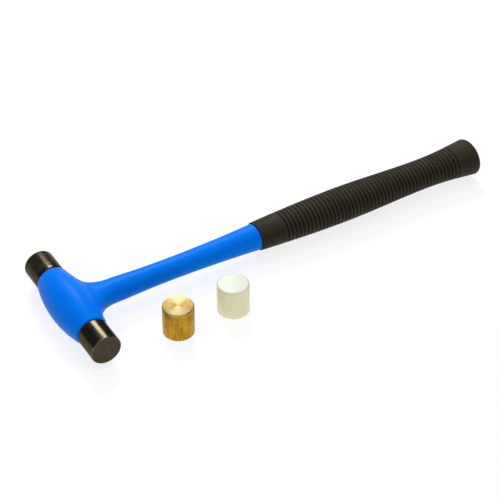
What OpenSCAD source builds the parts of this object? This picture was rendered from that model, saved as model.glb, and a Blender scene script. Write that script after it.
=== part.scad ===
// Small dead blow mallet with four screw-on striking faces, two of them spare and standing beside it.
// It lies on its side: +X runs along the head towards the steel face, +Y along the handle
// towards the grip, and +Z up from the surface it lies on. Millimetres.

/* [Striking faces] */
// Diameter of the fitted faces and of the brass face
face_d = 12; // [10.5:0.5:14.5]
// Diameter of the nylon face
nylon_d = 12.4; // [10.4:0.2:15]
// Length of the brass face
brass_face_len = 12.5; // [11:0.5:16]
// Length of the nylon face
nylon_face_len = 12.8; // [11:0.1:16]
// Length of the fitted rubber face with its backing
rubber_face_len = 11.2; // [11:0.1:14]
// Length of the fitted steel face
steel_face_len = 10.7; // [9.8:0.1:14]
// Thickness of the steel backing flange behind the rubber
backing_t = 1.5; // [1:0.1:2.4]
// Chamfer of the backing flange's rear edge
flange_edge = 0.3; // [0.1:0.1:0.6]
// Wall of the threaded boss inside the rubber
boss_wall = 1.15; // [0.8:0.05:1.3]
// Rounding of the rubber face's outer edge
rubber_edge_r = 0.7; // [0.4:0.1:1.6]
// Rounding of the steel face's outer edge
steel_edge_r = 0.35; // [0.2:0.05:1]
// Chamfer of the brass face's outer edge
brass_chamfer = 0.6; // [0.3:0.1:1.2]
// Rounding of the nylon face's outer edge
nylon_edge_r = 0.9; // [0.3:0.1:1.5]

/* [Face thread] */
// Outside diameter of the face thread
thread_d = 6; // [5:0.5:7]
// Length of stud that stands out past the face seat
stud_reach = 7; // [5:0.5:7.5]
// Depth of the threaded hole in each face
face_hole_depth = 8; // [7.75:0.25:9]
// Radial clearance between stud and face thread
thread_gap = 0.05; // [0.02:0.01:0.1]

/* [Head] */
// Length of the moulded barrel
barrel_len = 33.2; // [28:0.2:40]
// Greatest radius of the moulded barrel
barrel_r = 8.5; // [8:0.1:10.5]
// Step from a face out to the barrel's end
end_step = 0.1; // [0:0.05:0.5]
// Moulded wall around the canister at the barrel's ends
end_wall = 0.9; // [0.8:0.05:1.2]
// Rounding of the barrel's end edges
barrel_edge_r = 0.5; // [0.2:0.1:0.6]
// Thickness of the loose seat washer under a face
washer_t = 0.5; // [0.3:0.1:0.8]

/* [Shot canister] */
// Wall of the canister tube
canister_wall = 0.8; // [0.5:0.1:1]
// Thickness of each threaded end plug
plug_t = 4; // [3:0.5:5]
// Thickness of each quietening pad
pad_t = 0.8; // [0.5:0.1:1.5]
// Room between the shot and the tube's wall
shot_room = 0.5; // [0.4:0.1:0.8]
// Distance the shot slides each way
shot_travel = 5; // [2:0.25:6]
// Gap between neighbouring balls
ball_gap = 0.1; // [0.05:0.05:0.2]

/* [Neck and shank] */
// Radius of the neck fillets seen from above
fillet_r = 10; // [7:0.5:12]
// Radius of the neck fillets seen from the side
fillet_side_r = 6; // [4:0.5:8]
// Depth that the neck fillets run on under the barrel's surface
fillet_sink = 0.4; // [0.3:0.1:0.8]
// Mean diameter of the shank beside the neck fillets
neck_d = 10; // [9:0.25:11.5]
// Mean diameter at the shank's waist
waist_d = 8.5; // [7.6:0.1:10]
// Distance of the waist from the head's axis
waist_y = 40; // [35:1:45]
// Distance of the grip's front edge from the head's axis
grip_y = 79; // [66:1:95]
// Oval shape of the shank, as width over mean diameter
shank_oval = 1.05; // [1:0.01:1.08]

/* [Core] */
// Diameter of the steel core rod
core_d = 4; // [3:0.2:4.6]
// Outside diameter of the socket that holds the core rod
socket_d = 6.8; // [6.2:0.2:7.6]
// Distance of the socket's end from the head's axis
socket_end = 17; // [15:1:22]
// Gap between the core rod and the canister tube
core_gap = 0.8; // [0.4:0.1:1.5]
// Moulding beyond the core rod, inside the tang
core_cover = 6; // [3:1:12]
// Diameter of the pin through the socket
pin_d = 1.5; // [1:0.1:2]
// Depth of the pin's ends below the socket's surface
pin_inset = 0.1; // [0.05:0.05:0.3]

/* [Grip] */
// Length of the grip sleeve, from its front edge to the butt
grip_len = 103; // [88:1:127]
// Mean diameter at the grip's front edge
grip_front_d = 11.6; // [11.4:0.1:13]
// Mean diameter at the grip's swell
swell_d = 14.2; // [13:0.2:17]
// Distance of the swell from the grip's front edge
swell_at = 39; // [30:1:48]
// Mean diameter at the grip's waist
grip_waist_d = 12.35; // [11.6:0.15:14]
// Distance of the grip's waist from the butt
grip_waist_at = 24; // [22:0.2:30]
// Mean diameter of the flared butt
butt_d = 15.4; // [14:0.1:18]
// Length of the rounded end beyond the butt's rim
butt_round = 1.4; // [1:0.1:2.5]
// Oval shape of the grip, as width over mean diameter
grip_oval = 1.07; // [1:0.01:1.1]
// Step from the shank out to the grip's front edge
grip_step = 0.4; // [0.2:0.05:0.6]
// Wall of the grip at its front edge
grip_wall = 1.2; // [1:0.1:1.5]
// Length of solid rubber beyond the tang
butt_solid = 10; // [6:1:16]

/* [Spare faces] */
// Distance of the spare faces from the handle's axis
spare_x = 23.6; // [18:0.1:35]
// Distance of the brass face from the head's axis
brass_y = 31.7; // [28:0.1:38]
// Distance of the nylon face from the head's axis
nylon_y = 55.1; // [52:0.1:80]

/* [Hidden] */
ROUND = 96;
OVAL_SIDES = 32;
SPHERE = 24;
face_r = face_d / 2;
thread_r = thread_d / 2;
hole_r = thread_r + thread_gap;
boss_r = hole_r + boss_wall;
boss_len = face_hole_depth + 1;
plug_x = barrel_len / 2;                  // outer end of both plugs
seat_x = plug_x + washer_t;               // inner end of both fitted faces
barrel_end_r = face_r + end_step;
canister_r = barrel_end_r - end_wall;
canister_bore = canister_r - canister_wall;
chamber_x = plug_x - plug_t - pad_t;      // half the length left for the shot
ball_d = (2 * (canister_bore - shot_room) - 2 * ball_gap) / 3;   // three balls across the tube
ball_step = ball_d + ball_gap;
ball_rows = floor((2 * (chamber_x - shot_travel) + ball_gap) / ball_step);
barrel_sag = barrel_r - barrel_end_r;
barrel_arc = (pow(barrel_len / 2, 2) + pow(barrel_sag, 2)) / (2 * barrel_sag);
socket_r = socket_d / 2;
core_r = core_d / 2;
core_start = canister_r + core_gap;
pin_y = (canister_r + socket_end) / 2;    // the pin is halfway along the socket
shank_end_d = grip_front_d - 2 * grip_step;
tang_r = grip_front_d / 2 - grip_wall;
grip_end = grip_y + grip_len;
tang_end = grip_end - butt_solid;
core_end = tang_end - core_cover;
tang_root = 4;                            // how far the tang starts inside the shank
cut = 1;                                  // how far cutting solids run past what they cut
butt_y = grip_end - butt_round;
swell_y = grip_y + swell_at;
grip_waist_y = grip_end - grip_waist_at;
// Where the fillets of the neck leave the shank, and where they end just under the barrel's surface
neck_r = neck_d / 2;
neck_w = neck_r * shank_oval;
neck_h = neck_r / shank_oval;
arc_in = barrel_arc - fillet_sink;
fillet_x = neck_w + fillet_r;
fillet_y = sqrt(pow(arc_in + fillet_r, 2) - fillet_x * fillet_x) - (barrel_arc - barrel_r);
touch_x = fillet_x * arc_in / (arc_in + fillet_r);
touch_y = sqrt(arc_in * arc_in - touch_x * touch_x) - (barrel_arc - barrel_r);
side_in = barrel_r - fillet_sink;
side_z = neck_h + fillet_side_r;
side_y = sqrt(pow(side_in + fillet_side_r, 2) - side_z * side_z);
side_touch_y = side_y * side_in / (side_in + fillet_side_r);
// The whole object's box sets the origin: the middle of its base
x_low = -(seat_x + rubber_face_len);
x_high = max(seat_x + steel_face_len, spare_x + face_r, spare_x + nylon_d / 2);
rest_height = max(barrel_r, butt_d / 2 / grip_oval, swell_d / 2 / grip_oval, face_r);
to_origin = [-(x_low + x_high) / 2, -(grip_end - barrel_r) / 2, rest_height];

moulded_blue = "#0d6fe0";
rubber_black = "#2a2620";
steel_bright = "#b9bcc0";
steel_black = "#4a463a";
brass_gold = "#c9973a";
nylon_white = "#e9eed9";
pad_grey = "#77736c";

// Mean diameter of the shank: a parabola on each side of its waist
function shank_mean(y) = y < waist_y
    ? waist_d + (neck_d - waist_d) * pow((waist_y - y) / (waist_y - fillet_y), 2)
    : waist_d + (shank_end_d - waist_d) * pow((y - waist_y) / (grip_y - waist_y), 2);

// Half width of the neck and shank at distance y from the head's axis
function shank_half_w(y) = y < fillet_y
    ? fillet_x - sqrt(max(0, fillet_r * fillet_r - pow(fillet_y - max(y, touch_y), 2)))
    : shank_mean(y) / 2 * shank_oval;

// Half height of the neck and shank at distance y from the head's axis
function shank_half_h(y) = y < side_touch_y
    ? sqrt(side_in * side_in - y * y)
    : y < side_y
        ? side_z - sqrt(fillet_side_r * fillet_side_r - pow(side_y - y, 2))
        : y < fillet_y ? neck_h : shank_mean(y) / 2 / shank_oval;

// Mean diameter of the grip: it swells, draws in and flares to the butt
function grip_mean(y) = y < swell_y
    ? grip_front_d + (swell_d - grip_front_d) * sin(90 * (y - grip_y) / (swell_y - grip_y))
    : y < grip_waist_y
        ? swell_d + (grip_waist_d - swell_d) * (1 - cos(180 * (y - swell_y) / (grip_waist_y - swell_y))) / 2
        : grip_waist_d + (butt_d - grip_waist_d) * (1 - cos(90 * (y - grip_waist_y) / (butt_y - grip_waist_y)));

// One oval ring of points, square to the handle
function oval_ring(y, half_w, half_h) =
    [for (i = [0:OVAL_SIDES - 1]) let (a = 360 * i / OVAL_SIDES) [half_w * cos(a), y, half_h * sin(a)]];

// Closed solid through a list of rings, each given as [y, half width, half height]
module oval_loft(rings) {
    n = OVAL_SIDES;
    last = len(rings) - 1;
    points = [for (r = rings) each oval_ring(r[0], r[1], r[2])];
    front = [[for (i = [n - 1:-1:0]) i]];
    back = [[for (i = [0:n - 1]) last * n + i]];
    sides = [for (k = [0:last - 1], i = [0:n - 1])
        [k * n + i, k * n + (i + 1) % n, (k + 1) * n + (i + 1) % n, (k + 1) * n + i]];
    polyhedron(points, concat(front, sides, back), convexity = 6);
}

module in_place() {
    translate(to_origin) children();
}

module along_x(side = 1) {
    rotate([0, 90 * side, 0]) children();
}

module along_y() {
    rotate([-90, 0, 0]) children();
}

// Cylinder along the head's axis on one side, between two distances from the middle
module head_cylinder(side, near, far, r) {
    along_x(side) translate([0, 0, near]) cylinder(r = r, h = far - near, $fn = ROUND);
}

// Barrel of the head: a shallow arc turned about the head's axis, with its end edges rounded
module barrel() {
    end_r = barrel_end_r - barrel_edge_r;
    edge_x = barrel_len / 2 - barrel_edge_r;
    along_x() rotate([0, 0, -90]) rotate_extrude($fn = ROUND) {
        intersection() {
            translate([barrel_r - barrel_arc, 0]) circle(r = barrel_arc, $fn = 4 * ROUND);
            translate([0, -edge_x]) square([barrel_r, 2 * edge_x]);
        }
        translate([0, -barrel_len / 2]) square([end_r, barrel_len]);
        for (side = [-1, 1]) translate([end_r, side * edge_x]) circle(r = barrel_edge_r, $fn = ROUND);
    }
}

module neck_and_shank() {
    neck_steps = 14;
    shank_steps = 12;
    root_narrowing = 0.9;
    root_y = canister_r / 2;
    inside = [[root_y, touch_x * root_narrowing, shank_half_h(root_y)]];
    neck = [for (i = [0:neck_steps]) let (y = touch_y + (fillet_y - touch_y) * i / neck_steps)
        [y, shank_half_w(y), shank_half_h(y)]];
    shank = [for (i = [1:shank_steps]) let (y = fillet_y + (grip_y - fillet_y) * i / shank_steps)
        [y, shank_half_w(y), shank_half_h(y)]];
    oval_loft(concat(inside, neck, shank));
}

module moulded_body() {
    color(moulded_blue) in_place() difference() {
        union() {
            barrel();
            neck_and_shank();
            translate([0, grip_y - tang_root, 0]) along_y()
                cylinder(r = tang_r, h = tang_end - grip_y + tang_root, $fn = ROUND);
        }
        along_x() cylinder(r = canister_r, h = barrel_len, center = true, $fn = ROUND);
        along_y() cylinder(r = socket_r, h = socket_end, $fn = ROUND);
        along_y() cylinder(r = core_r, h = core_end, $fn = ROUND);
    }
}

module canister_tube() {
    color(steel_bright) in_place() difference() {
        along_x() cylinder(r = canister_r, h = 2 * plug_x, center = true, $fn = ROUND);
        along_x() cylinder(r = canister_bore, h = 2 * (plug_x + cut), center = true, $fn = ROUND);
    }
}

module end_plug(side) {
    color(steel_bright) in_place() difference() {
        head_cylinder(side, plug_x - plug_t, plug_x, canister_bore);
        head_cylinder(side, plug_x - plug_t - cut, plug_x + cut, thread_r);
    }
}

module end_plug_a() {
    end_plug(-1);
}

module end_plug_b() {
    end_plug(1);
}

module face_stud(side) {
    color(steel_bright) in_place() head_cylinder(side, plug_x - plug_t, seat_x + stud_reach, thread_r);
}

module face_stud_a() {
    face_stud(-1);
}

module face_stud_b() {
    face_stud(1);
}

module shot_pad(side) {
    color(pad_grey) in_place() head_cylinder(side, chamber_x, chamber_x + pad_t, canister_bore);
}

module shot_pad_a() {
    shot_pad(-1);
}

module shot_pad_b() {
    shot_pad(1);
}

// Rows of seven balls, one in the middle and six around it
module steel_shot() {
    color(steel_bright) in_place()
        for (row = [0:ball_rows - 1])
            translate([(row - (ball_rows - 1) / 2) * ball_step, 0, 0]) {
                sphere(d = ball_d, $fn = SPHERE);
                for (a = [0:60:300]) rotate([a, 0, 0]) translate([0, ball_step, 0])
                    sphere(d = ball_d, $fn = SPHERE);
            }
}

// Cylinder where the pin goes through the socket
module pin_rod(length) {
    translate([0, pin_y, 0]) cylinder(d = pin_d, h = length, center = true, $fn = ROUND);
}

// Steel socket welded to the canister, with the core rod pinned into it
module core_socket() {
    color(steel_bright) in_place() difference() {
        along_y() cylinder(r = socket_r, h = socket_end, $fn = ROUND);
        along_x() cylinder(r = canister_r, h = barrel_len, center = true, $fn = ROUND);
        along_y() cylinder(r = core_r, h = socket_end + cut, $fn = ROUND);
        pin_rod(socket_d + 2 * cut);
    }
}

module core_rod() {
    color(steel_bright) in_place() difference() {
        translate([0, core_start, 0]) along_y() cylinder(r = core_r, h = core_end - core_start, $fn = ROUND);
        pin_rod(socket_d);
    }
}

module core_pin() {
    pin_len = 2 * (sqrt(socket_r * socket_r - pin_d * pin_d / 4) - pin_inset);
    color(steel_bright) in_place() pin_rod(pin_len);
}

module seat_washer(side) {
    color(steel_bright) in_place() difference() {
        head_cylinder(side, plug_x, seat_x, canister_r);
        head_cylinder(side, plug_x - cut, seat_x + cut, hole_r);
    }
}

module seat_washer_a() {
    seat_washer(-1);
}

module seat_washer_b() {
    seat_washer(1);
}

// Turned blank of a face, standing on its seat, with a rounded outer edge
module rounded_blank(r, base, top, edge_r) {
    rotate_extrude($fn = ROUND) {
        translate([0, base]) square([r, top - base - edge_r]);
        translate([0, base]) square([r - edge_r, top - base]);
        translate([r - edge_r, top - edge_r]) circle(r = edge_r, $fn = ROUND);
    }
}

module face_hole() {
    translate([0, 0, -cut]) cylinder(r = hole_r, h = face_hole_depth + cut, $fn = ROUND);
}

module rubber_face() {
    color(rubber_black) in_place() along_x(-1) translate([0, 0, seat_x]) difference() {
        rounded_blank(face_r, backing_t, rubber_face_len, rubber_edge_r);
        cylinder(r = boss_r, h = boss_len, $fn = ROUND);
    }
}

module rubber_face_insert() {
    color(steel_bright) in_place() along_x(-1) translate([0, 0, seat_x]) difference() {
        union() {
            cylinder(r1 = face_r - flange_edge, r2 = face_r, h = flange_edge, $fn = ROUND);
            translate([0, 0, flange_edge]) cylinder(r = face_r, h = backing_t - flange_edge, $fn = ROUND);
            cylinder(r = boss_r, h = boss_len, $fn = ROUND);
        }
        face_hole();
    }
}

module steel_face() {
    color(steel_black) in_place() along_x() translate([0, 0, seat_x]) difference() {
        rounded_blank(face_r, 0, steel_face_len, steel_edge_r);
        face_hole();
    }
}

// Puts a spare face on the surface beside the handle
module standing_at(y) {
    in_place() translate([spare_x, y, -rest_height]) children();
}

module brass_face() {
    straight = brass_face_len - brass_chamfer;
    color(brass_gold) standing_at(brass_y) difference() {
        union() {
            cylinder(r = face_r, h = straight, $fn = ROUND);
            translate([0, 0, straight])
                cylinder(r1 = face_r, r2 = face_r - brass_chamfer, h = brass_chamfer, $fn = ROUND);
        }
        face_hole();
    }
}

module nylon_face() {
    color(nylon_white) standing_at(nylon_y) difference() {
        rounded_blank(nylon_d / 2, 0, nylon_face_len, nylon_edge_r);
        face_hole();
    }
}

module grip_sleeve() {
    body_steps = 34;
    round_steps = 5;
    body = [for (i = [0:body_steps]) let (y = grip_y + (butt_y - grip_y) * i / body_steps, d = grip_mean(y))
        [y, d / 2 * grip_oval, d / 2 / grip_oval]];
    end = [for (i = [1:round_steps])
        let (a = 90 * i / round_steps, d = butt_d - 2 * butt_round * (1 - cos(a)))
        [butt_y + butt_round * sin(a), d / 2 * grip_oval, d / 2 / grip_oval]];
    color(rubber_black) in_place() difference() {
        oval_loft(concat(body, end));
        translate([0, grip_y - cut, 0]) along_y() cylinder(r = tang_r, h = tang_end - grip_y + cut, $fn = ROUND);
    }
}

moulded_body();
canister_tube();
end_plug_a();
end_plug_b();
face_stud_a();
face_stud_b();
shot_pad_a();
shot_pad_b();
steel_shot();
core_socket();
core_rod();
core_pin();
seat_washer_a();
seat_washer_b();
rubber_face();
rubber_face_insert();
steel_face();
brass_face();
nylon_face();
grip_sleeve();
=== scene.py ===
"""Looks of a small dead blow mallet and its two loose striking faces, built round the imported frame.

The mallet lies on its side: +X runs along the head towards the steel face, +Y along the handle
towards the grip, and +Z up from the surface. Outlines are in millimetres, Blender in metres.
"""
import math

import bpy
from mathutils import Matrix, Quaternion, Vector


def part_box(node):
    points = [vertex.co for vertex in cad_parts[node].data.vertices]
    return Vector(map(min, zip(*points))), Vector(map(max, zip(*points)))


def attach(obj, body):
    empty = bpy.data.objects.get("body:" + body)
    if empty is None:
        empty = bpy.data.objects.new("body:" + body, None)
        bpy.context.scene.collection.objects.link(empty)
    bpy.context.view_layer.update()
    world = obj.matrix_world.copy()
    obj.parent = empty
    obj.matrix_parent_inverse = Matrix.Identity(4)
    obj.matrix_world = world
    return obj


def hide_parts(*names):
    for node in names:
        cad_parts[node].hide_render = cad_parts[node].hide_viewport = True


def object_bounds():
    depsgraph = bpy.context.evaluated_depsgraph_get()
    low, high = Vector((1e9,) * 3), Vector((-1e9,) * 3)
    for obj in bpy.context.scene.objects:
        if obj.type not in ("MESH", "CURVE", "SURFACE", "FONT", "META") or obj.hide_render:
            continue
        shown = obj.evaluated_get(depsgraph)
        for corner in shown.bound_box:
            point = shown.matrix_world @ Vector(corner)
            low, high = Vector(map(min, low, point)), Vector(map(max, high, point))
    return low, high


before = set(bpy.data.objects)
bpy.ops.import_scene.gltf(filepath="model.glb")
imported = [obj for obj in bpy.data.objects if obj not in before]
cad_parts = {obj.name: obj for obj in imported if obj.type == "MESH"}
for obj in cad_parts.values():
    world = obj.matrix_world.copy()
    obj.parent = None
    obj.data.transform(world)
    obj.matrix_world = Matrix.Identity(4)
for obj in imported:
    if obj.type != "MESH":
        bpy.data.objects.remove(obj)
cad_low, cad_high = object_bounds()

MM = 0.001
TURN = 2 * math.pi
SIDES = 96                # sides of a turned piece
THREAD_SIDES = 48
PIN_SIDES = 48
WELD = 1e-6               # metres between points that are one point
GAP = 0.02                # mm between pieces that touch on the real mallet

# Striking faces
SEAT_CHAMFER = 0.15
EDGE_RUBBER = 0.7
EDGE_STEEL = 0.35
EDGE_NYLON = 0.9
FOOT_NYLON = 0.3          # chamfer at the nylon face's seat
CHAMFER_BRASS = 0.6
FLANGE = 1.5              # backing flange behind the rubber
FLANGE_EDGE = 0.3
BOSS_WALL = 1.15          # round the thread of the rubber face's backing
HOLE_DEPTH = 8.0
HOLE_MOUTH = 0.35
THREAD_DEPTH = 7.4
HIGHLIGHT_SECTOR_AT = math.radians(-27)   # middle of the painted highlight sectors on the brass face's turned end
BRASS_SIDE_ROUGH = 0.26
BRASS_END_ROUGH = 0.58

# Thread of the studs and faces
PITCH = 1.0
STUD_CREST = 3.0
STUD_ROOT = 2.4
HOLE_CREST = 3.05
HOLE_ROOT = 2.5
SPANNER_HOLE_R = 0.35
SPANNER_HOLE_DEPTH = 1.2

# Moulded body
END_ROUND = 0.5
END_LIP = 0.1             # of the barrel's end, past the face
BORE_MOUTH = 0.25
NECK_FILLET = 10.0        # seen from above
NECK_SIDE_FILLET = 6.0    # seen from the side
FILLET_SINK = 0.4
NECK_D = 10.0
WAIST_D = 8.5
WAIST_Y = 40.0
SHANK_END_D = 10.8
SHANK_OVAL = 1.05
TANG_R = 4.6
TANG_ROOT = 4.0
TANG_CHAMFER = 0.4
BODY_VOXEL = 0.28
MELT_ROUNDS = 450
MELT_FADES = 2.8          # the smoothing of the neck fades out this far from the barrel's ends
MELT_STOPS = 1.3          # and stops here

# Grip
GRIP_OVAL = 1.07
GRIP_FRONT_D = 11.6
SWELL_D = 14.2
SWELL_AT = 39.0
GRIP_WAIST_D = 12.35
GRIP_WAIST_AT = 24.0
BUTT_D = 15.4
BUTT_ROUND = 1.4
GRIP_LIP = 0.3
FIRST_RING = 90.3         # distance of the first ring from the head's axis
RING_PITCH = 1.733
RING_COUNT = 48
RING_DEPTH = 0.34
# Section of one ring, as shares of the pitch and of the depth
RING_SHAPE = ((-0.34, 0.0), (-0.2, 0.45), (-0.1, 0.9), (0.0, 1.0), (0.1, 0.9), (0.2, 0.45), (0.34, 0.0))
PLAIN_CREST = 0.6         # paleness of the grip's plain stretches, where 1 is a crest and 0 the painted shade of a groove

# Places that the frame gives
HEAD = sum(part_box("canister_tube"), Vector()) / 2


def reach(node, axis):
    """Lowest and highest distance of a node from the head's middle along one axis, in millimetres."""
    low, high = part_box(node)
    return (low[axis] - HEAD[axis]) / MM, (high[axis] - HEAD[axis]) / MM


BODY_HALF = reach("moulded_body", 0)[1]
BARREL_R = reach("moulded_body", 2)[1]
CANISTER_R = reach("canister_tube", 2)[1]
CANISTER_BORE = reach("end_plug_b", 2)[1]
PLUG_IN, PLUG_OUT = reach("end_plug_b", 0)
PAD_IN, PAD_OUT = reach("shot_pad_b", 0)
STUD_OUT = reach("face_stud_b", 0)[1]
SEAT = reach("steel_face", 0)[0]
STEEL_END = reach("steel_face", 0)[1]
RUBBER_END = -reach("rubber_face", 0)[0]
FACE_R = reach("steel_face", 2)[1]
NYLON_R = (reach("nylon_face", 0)[1] - reach("nylon_face", 0)[0]) / 2
BRASS_HIGH = reach("brass_face", 2)[1] - reach("brass_face", 2)[0]
NYLON_HIGH = reach("nylon_face", 2)[1] - reach("nylon_face", 2)[0]
BOSS_OUT = -reach("rubber_face_insert", 0)[0]
SOCKET_R = reach("core_socket", 0)[1]
SOCKET_END = reach("core_socket", 1)[1]
CORE_R = reach("core_rod", 0)[1]
CORE_START, CORE_END = reach("core_rod", 1)
PIN_R = reach("core_pin", 0)[1]
PIN_HALF = reach("core_pin", 2)[1]
PIN_Y = sum(reach("core_pin", 1)) / 2
TANG_END = reach("moulded_body", 1)[1]
GRIP_Y, GRIP_END = reach("grip_sleeve", 1)
BARREL_END_R = FACE_R + END_LIP
BOSS_R = HOLE_CREST + BOSS_WALL


# ---------------------------------------------------------------- camera and lights

VIEW_AZIMUTH = math.radians(58.78)
VIEW_ELEVATION = math.radians(39.69)
VIEW_ROLL = math.radians(0.32)
AIM = Vector((-0.00363, -0.00842, 0))
DISTANCE = 0.6541
LENS = 120.34


def add_camera():
    """Camera at the viewing angle, aimed at a point on the surface."""
    ahead = Vector((-math.sin(VIEW_AZIMUTH), math.cos(VIEW_AZIMUTH), 0))
    ahead *= math.cos(VIEW_ELEVATION)
    ahead.z = -math.sin(VIEW_ELEVATION)
    bpy.ops.object.camera_add(location=AIM - ahead * DISTANCE)
    camera = bpy.context.object
    camera.name = "camera"
    level = ahead.to_track_quat("-Z", "Y")
    camera.rotation_euler = (level @ Quaternion((0, 0, 1), VIEW_ROLL)).to_euler()
    camera.data.lens = LENS
    camera.data.sensor_width = 36
    camera.data.clip_start = 0.01
    bpy.context.scene.camera = camera


def add_softbox(name, direction, distance, size, power):
    """Square area light that shines at the middle of the mallet."""
    towards = Vector(direction).normalized()
    bpy.ops.object.light_add(type="AREA", location=towards * distance)
    lamp = bpy.context.object
    lamp.name = name
    lamp.rotation_euler = towards.to_track_quat("Z", "Y").to_euler()
    lamp.data.size = size
    lamp.data.energy = power


def add_studio():
    """White studio: a small box behind the mallet for its highlights, a broad one overhead, white air."""
    add_softbox("back_box", (-0.66, 0.22, 0.72), 0.75, 0.26, 3.4)
    add_softbox("roof_box", (0.1, -0.1, 1.0), 1.3, 1.8, 13.0)
    world = bpy.data.worlds.new("white_air")
    world.use_nodes = True
    world.node_tree.nodes["Background"].inputs["Color"].default_value = (1, 1, 1, 1)
    world.node_tree.nodes["Background"].inputs["Strength"].default_value = 0.15
    bpy.context.scene.world = world
    bpy.context.scene.view_settings.view_transform = "Standard"


add_camera()
add_studio()


# ---------------------------------------------------------------- material kit

def place(tree, kind, settings=None, **inputs):
    """Adds a node. Inputs go by name, or by number as i0, i1 and so on: sockets are linked, values set."""
    made = tree.nodes.new(kind)
    for key, value in (settings or {}).items():
        setattr(made, key, value)
    for key, value in inputs.items():
        socket = made.inputs[int(key[1:])] if key[0] == "i" and key[1:].isdigit() else made.inputs[key]
        if isinstance(value, bpy.types.NodeSocket):
            tree.links.new(value, socket)
        else:
            socket.default_value = value
    return made


def maths(tree, operation, a, b=0.0, c=0.0):
    """Result of a math node on up to three values or sockets."""
    return place(tree, "ShaderNodeMath", {"operation": operation}, i0=a, i1=b, i2=c).outputs[0]


def fade(tree, value, low, high, to_low=0.0, to_high=1.0):
    """Smooth step of a value from one range to another."""
    step = place(tree, "ShaderNodeMapRange", {"interpolation_type": "SMOOTHSTEP"}, Value=value)
    for key, bound in (("From Min", low), ("From Max", high), ("To Min", to_low), ("To Max", to_high)):
        step.inputs[key].default_value = bound
    return step.outputs["Result"]


def blend(tree, factor, first, second):
    """Colour mix of two colours or colour sockets."""
    mixed = place(tree, "ShaderNodeMix", {"data_type": "RGBA"})
    for index, value in ((0, factor), (6, first), (7, second)):
        if isinstance(value, bpy.types.NodeSocket):
            tree.links.new(value, mixed.inputs[index])
        else:
            mixed.inputs[index].default_value = value
    return mixed.outputs[2]


def noise(tree, vector, scale, detail=3.0, rough=0.55):
    """Value of a noise texture, from 0 to 1."""
    return place(tree, "ShaderNodeTexNoise", None, Vector=vector, Scale=scale, Detail=detail,
                 Roughness=rough).outputs["Fac"]


def effect(name, inputs, outputs):
    """Empty node group for an effect that several materials share."""
    group = bpy.data.node_groups.new(name, "ShaderNodeTree")
    for label, kind in inputs:
        group.interface.new_socket(name=label, in_out="INPUT", socket_type=kind)
    for label in outputs:
        group.interface.new_socket(name=label, in_out="OUTPUT", socket_type="NodeSocketFloat")
    return group, group.nodes.new("NodeGroupInput"), group.nodes.new("NodeGroupOutput")


VECTOR, NUMBER = "NodeSocketVector", "NodeSocketFloat"


def off_axis(tree, vector):
    """Distance from a piece's own Z axis, and the height along it."""
    x, y, z = place(tree, "ShaderNodeSeparateXYZ", None, Vector=vector).outputs
    return maths(tree, "SQRT", maths(tree, "MULTIPLY_ADD", x, x, maths(tree, "MULTIPLY", y, y))), z


def make_fine_grain():
    """Pitted skin of a moulded or ground surface, with a coarser swell under it."""
    group, given, result = effect("fine_grain", [("Vector", VECTOR), ("Size", NUMBER)], ["Height"])
    density = maths(group, "DIVIDE", 1.0, given.outputs["Size"])
    fine = noise(group, given.outputs["Vector"], density, 4.0, 0.6)
    coarse = noise(group, given.outputs["Vector"], maths(group, "MULTIPLY", density, 0.22), 2.0)
    group.links.new(maths(group, "MULTIPLY_ADD", coarse, 0.6, fine), result.inputs["Height"])
    return group


def make_smudges():
    """Broad uneven patches, from 0 to 1."""
    group, given, result = effect("smudges", [("Vector", VECTOR), ("Size", NUMBER)], ["Value"])
    density = maths(group, "DIVIDE", 1.0, given.outputs["Size"])
    patches = noise(group, given.outputs["Vector"], density, 5.0, 0.62)
    group.links.new(fade(group, patches, 0.34, 0.68), result.inputs["Value"])
    return group


def make_specks():
    """Scattered dust and tiny pits."""
    group, given, result = effect("specks", [("Vector", VECTOR), ("Size", NUMBER)], ["Mask"])
    density = maths(group, "DIVIDE", 1.0, given.outputs["Size"])
    cells = place(group, "ShaderNodeTexVoronoi", None, Vector=given.outputs["Vector"], Scale=density)
    dots = fade(group, cells.outputs["Distance"], 0.05, 0.16, 1.0, 0.0)
    clouds = noise(group, given.outputs["Vector"], maths(group, "MULTIPLY", density, 0.3))
    where = fade(group, clouds, 0.52, 0.62)
    group.links.new(maths(group, "MULTIPLY", dots, where), result.inputs["Mask"])
    return group


def make_turning_marks():
    """Tool marks of a lathe: rings on an end and hoops round a side, about the vector's Z axis."""
    group, given, result = effect("turning_marks", [("Vector", VECTOR), ("Pitch", NUMBER)], ["Height"])
    radius, z = off_axis(group, given.outputs["Vector"])
    along = maths(group, "ADD", radius, z)
    wander = place(group, "ShaderNodeTexNoise", {"noise_dimensions": "1D"}, W=along, Scale=2.3, Detail=3.0)
    passes = maths(group, "DIVIDE", along, given.outputs["Pitch"])
    waves = maths(group, "SINE", maths(group, "MULTIPLY", passes, TURN))
    height = maths(group, "MULTIPLY_ADD", wander.outputs["Fac"], 1.6, waves)
    group.links.new(height, result.inputs["Height"])
    return group


def make_rim_wear():
    """Rubbed band along a round rim, about the vector's Z axis, broken up by noise."""
    sockets = [("Vector", VECTOR), ("Rim Radius", NUMBER), ("Rim Height", NUMBER), ("Width", NUMBER)]
    group, given, result = effect("rim_wear", sockets, ["Mask"])
    radius, z = off_axis(group, given.outputs["Vector"])
    out = maths(group, "SUBTRACT", radius, given.outputs["Rim Radius"])
    up = maths(group, "SUBTRACT", z, given.outputs["Rim Height"])
    away = maths(group, "SQRT", maths(group, "MULTIPLY_ADD", out, out, maths(group, "MULTIPLY", up, up)))
    near = maths(group, "SUBTRACT", 1.0, maths(group, "DIVIDE", away, given.outputs["Width"]))
    ragged = maths(group, "MULTIPLY_ADD", noise(group, given.outputs["Vector"], 1.9, 5.0, 0.65), 1.4, near)
    group.links.new(fade(group, ragged, 0.75, 1.35), result.inputs["Mask"])
    return group


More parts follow.
